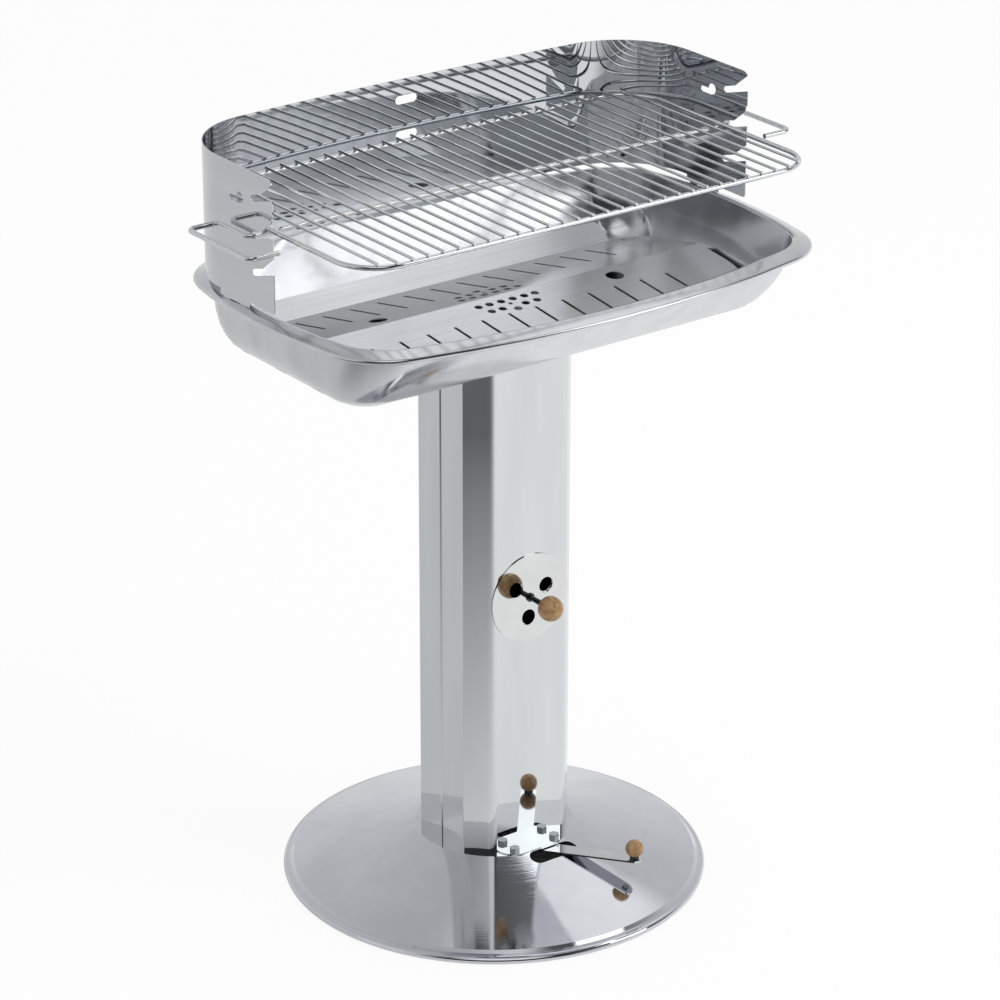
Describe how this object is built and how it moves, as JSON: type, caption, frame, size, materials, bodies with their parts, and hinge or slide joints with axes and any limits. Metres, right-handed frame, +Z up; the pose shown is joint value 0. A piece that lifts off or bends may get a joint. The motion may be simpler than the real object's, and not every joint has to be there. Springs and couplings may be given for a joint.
{
  "type": "park bbq grill pedestal",
  "caption": "Free-standing charcoal grill: cone base and octagonal column with air flaps, drawn fire tray, three-sided windscreen and a wire grid that hangs in notches.",
  "frame": {"origin": "on the floor, below the axis of the column and the centre of the round base", "axes": "+Z up, +X along the long side of the fire tray, -Y towards the front with the damper and the air lever"},
  "size_m": [0.6988, 0.4698, 0.873],
  "materials": {
    "polished_steel": "mirror-polished stainless sheet",
    "satin_steel": "satin stainless sheet with rolling marks",
    "wire": "bright plated steel wire",
    "fixings": "zinc-plated fasteners",
    "dark_fixings": "blackened steel",
    "wood": "turned beech with clear lacquer"
  },
  "bodies": {
    "pedestal": {"base_dish": "polished_steel", "column_front_shell": "polished_steel", "column_rear_shell": "polished_steel", "foot_bolts": "fixings", "foot_nuts": "fixings", "head_bolts": "fixings", "head_nuts": "fixings", "flap_pivot_stud": "fixings", "flap_pivot_washer": "fixings", "flap_pivot_nut": "fixings", "fire_tray": "polished_steel"},
    "air_lever": {"air_flap": "satin_steel", "flap_rivets": "fixings", "air_lever": "polished_steel", "lever_collar": "dark_fixings", "lever_ball": "wood", "lever_ball_screw": "fixings"},
    "damper": {"damper_disc": "polished_steel", "damper_spindle": "dark_fixings", "damper_knob": "wood", "damper_washer": "fixings", "damper_spring_washer": "fixings", "damper_nut": "fixings"},
    "charcoal_plate": {"charcoal_plate": "satin_steel"},
    "windscreen": {"windscreen": "polished_steel"},
    "grid": {"grid_frame": "wire", "grid_rods": "wire", "cross_bar_handles": "wire"}
  },
  "joints": [
    {"name": "air_lever_swing", "type": "hinge", "parent": "pedestal", "child": "air_lever", "pos_m": [-0.0062, -0.0634, 0.0487], "axis": [0, 0, 1], "range_deg": [-36, 0]},
    {"name": "damper_turn", "type": "hinge", "parent": "pedestal", "child": "damper", "pos_m": [0, -0.0645, 0.3478], "axis": [0, -1, 0], "range_deg": [0, 64]},
    {"name": "charcoal_plate_lift", "type": "slide", "parent": "pedestal", "child": "charcoal_plate", "axis": [0, 0, 1], "range_m": [0, 0.04]},
    {"name": "windscreen_lift", "type": "slide", "parent": "pedestal", "child": "windscreen", "axis": [0, 0, 1], "range_m": [0, 0.04]},
    {"name": "grid_draw", "type": "slide", "parent": "windscreen", "child": "grid", "axis": [0, -0.9598, 0.2807], "range_m": [0, 0.05]}
  ]
}
